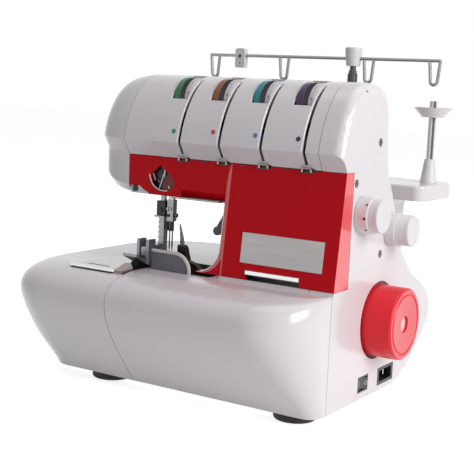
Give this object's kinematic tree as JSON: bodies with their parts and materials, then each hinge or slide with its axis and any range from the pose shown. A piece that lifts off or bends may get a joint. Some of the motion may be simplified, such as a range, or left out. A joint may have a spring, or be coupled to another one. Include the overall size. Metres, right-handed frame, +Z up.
{
  "type": "serger overlock machine",
  "caption": "Domestic overlock sewing machine with a rounded base, red front, white head with tension dials, handwheel, thread stand, presser foot, knives and opening looper cover.",
  "frame": {"origin": "centre of the overall box at floor level", "axes": "+X to the handwheel side, +Y to the back, +Z up"},
  "size_m": [0.3277, 0.2878, 0.308],
  "materials": {
    "white_plastic": "gloss",
    "red_plastic": "gloss",
    "white_small": "gloss",
    "clear_disc": "gloss",
    "green_dial": "satin",
    "orange_dial": "satin",
    "teal_dial": "satin",
    "purple_dial": "satin",
    "chrome": "polished",
    "steel": "satin",
    "bare_plate": "satin",
    "frame_metal": "cast",
    "bronze": "satin",
    "black_plastic": "satin",
    "grey_plastic": "satin",
    "dark_screw": "satin",
    "rubber": "matt"
  },
  "bodies": {
    "machine": {"base_plate": "steel", "hinge_rod": "steel", "rubber_feet": "rubber", "machine_frame": "frame_metal", "shaft_bushes": "bronze", "drive_belt": "rubber", "motor": "steel", "needle_plate": "steel", "lower_knife": "steel", "name_plate": "bare_plate", "finger_trim": "chrome", "tension_bracket": "frame_metal", "tension_discs": "steel", "slot_guides": "chrome", "spool_stand": "white_plastic", "spool_pins": "white_small", "spool_discs": "clear_disc", "mast_outer_tube": "steel", "power_inlet": "black_plastic", "switch_housing": "black_plastic", "cover_screws": "dark_screw", "red_front_panel": "red_plastic", "head_cover": "white_plastic", "right_side_cover": "white_plastic", "rear_cover": "white_plastic", "left_face_cover": "white_plastic"},
    "drive": {"handwheel": "red_plastic", "main_shaft": "steel", "shaft_pulley": "frame_metal"},
    "motor_drive": {"motor_pulley": "steel"},
    "needle": {"needle_bar": "steel", "needle_clamp": "chrome", "needles": "steel", "take_up_wires": "steel"},
    "presser": {"presser_bar": "steel", "presser_holder": "black_plastic"},
    "foot": {"presser_foot": "steel"},
    "lifter": {"lifter_lever": "grey_plastic"},
    "looper_low": {"lower_looper": "steel"},
    "looper_high": {"upper_looper": "steel"},
    "knife": {"knife_arm": "black_plastic", "upper_knife": "steel"},
    "feed": {"feed_dogs": "steel"},
    "looper_door": {"front_cover": "white_plastic", "cover_guard": "grey_plastic", "guard_rim": "white_small"},
    "table": {"left_table": "white_plastic", "cloth_plate": "chrome"},
    "dial_a": {"tension_dial_1": "green_dial"},
    "dial_b": {"tension_dial_2": "orange_dial"},
    "dial_c": {"tension_dial_3": "teal_dial"},
    "dial_d": {"tension_dial_4": "purple_dial"},
    "length_dial": {"stitch_length_dial": "white_small"},
    "feed_dial": {"differential_dial": "white_small"},
    "mast_middle": {"mast_middle_tube": "steel"},
    "mast_top": {"mast_rod": "steel", "mast_collar": "white_small", "thread_guide_wire": "steel", "wire_tab": "white_small"},
    "rocker": {"switch_rocker": "black_plastic"}
  },
  "joints": [
    {"name": "handwheel_turn", "type": "hinge", "parent": "machine", "child": "drive", "pos_m": [0, 0.005, 0.074], "axis": [1, 0, 0], "continuous": true},
    {"name": "motor_turn", "type": "hinge", "parent": "machine", "child": "motor_drive", "pos_m": [0.06, 0.078, 0.052], "axis": [1, 0, 0], "continuous": true},
    {"name": "needle_stroke", "type": "slide", "parent": "machine", "child": "needle", "axis": [0, 0, 1], "range_m": [-0.026, 0]},
    {"name": "upper_looper_swing", "type": "hinge", "parent": "machine", "child": "looper_high", "pos_m": [-0.007, -0.052, 0.06], "axis": [0, 1, 0], "range_deg": [0, 10]},
    {"name": "lower_looper_swing", "type": "hinge", "parent": "machine", "child": "looper_low", "pos_m": [-0.02, -0.072, 0.044], "axis": [0, 1, 0], "range_deg": [0, 12]},
    {"name": "knife_swing", "type": "hinge", "parent": "machine", "child": "knife", "pos_m": [0.02, -0.063, 0.095], "axis": [0, 1, 0], "range_deg": [0, 8]},
    {"name": "feed_travel", "type": "slide", "parent": "machine", "child": "feed", "axis": [0, 1, 0], "range_m": [0, 0.003]},
    {"name": "lifter_turn", "type": "hinge", "parent": "machine", "child": "lifter", "pos_m": [-0.006, 0.0169, 0.184], "axis": [0, 1, 0], "range_deg": [0, 50]},
    {"name": "presser_rise", "type": "slide", "parent": "machine", "child": "presser", "axis": [0, 0, 1], "range_m": [0, 0.005]},
    {"name": "foot_rock", "type": "hinge", "parent": "presser", "child": "foot", "pos_m": [-0.046, -0.084, 0.1195], "axis": [1, 0, 0], "range_deg": [-2, 2]},
    {"name": "looper_door_swing", "type": "hinge", "parent": "machine", "child": "looper_door", "pos_m": [0, -0.0955, 0.012], "axis": [1, 0, 0], "range_deg": [0, 50]},
    {"name": "table_slide", "type": "slide", "parent": "machine", "child": "table", "axis": [-1, 0, 0], "range_m": [0, 0.07]},
    {"name": "tension_turn_1", "type": "hinge", "parent": "machine", "child": "dial_a", "pos_m": [-0.0283, -0.041, 0.2535], "axis": [1, 0, 0], "range_deg": [-150, 150]},
    {"name": "tension_turn_2", "type": "hinge", "parent": "machine", "child": "dial_b", "pos_m": [0.0122, -0.041, 0.2535], "axis": [1, 0, 0], "range_deg": [-150, 150]},
    {"name": "tension_turn_3", "type": "hinge", "parent": "machine", "child": "dial_c", "pos_m": [0.0527, -0.041, 0.2535], "axis": [1, 0, 0], "range_deg": [-150, 150]},
    {"name": "tension_turn_4", "type": "hinge", "parent": "machine", "child": "dial_d", "pos_m": [0.0932, -0.041, 0.2535], "axis": [1, 0, 0], "range_deg": [-150, 150]},
    {"name": "stitch_length_turn", "type": "hinge", "parent": "machine", "child": "length_dial", "pos_m": [0.148, -0.039, 0.169], "axis": [1, 0, 0], "range_deg": [-120, 120]},
    {"name": "differential_turn", "type": "hinge", "parent": "machine", "child": "feed_dial", "pos_m": [0.148, 0.02, 0.152], "axis": [1, 0, 0], "range_deg": [-120, 120]},
    {"name": "mast_lower_rise", "type": "slide", "parent": "machine", "child": "mast_middle", "axis": [0, 0, 1], "range_m": [0, 0.085]},
    {"name": "mast_upper_rise", "type": "slide", "parent": "mast_middle", "child": "mast_top", "axis": [0, 0, 1], "range_m": [0, 0.085]},
    {"name": "switch_rock", "type": "hinge", "parent": "machine", "child": "rocker", "pos_m": [0.132, -0.017, 0.022], "axis": [0, 0, 1], "range_deg": [0, 16]}
  ],
  "couplings": [
    {"joint": "motor_turn", "follows": "handwheel_turn", "ratio": 2.1538},
    {"joint": "upper_looper_swing", "follows": "needle_stroke", "rad_per_m": -6.7121},
    {"joint": "lower_looper_swing", "follows": "needle_stroke", "rad_per_m": -8.0546},
    {"joint": "knife_swing", "follows": "needle_stroke", "rad_per_m": -5.3697},
    {"joint": "feed_travel", "follows": "needle_stroke", "ratio": -0.11538},
    {"joint": "lifter_turn", "follows": "presser_rise", "rad_per_m": 174.52}
  ]
}
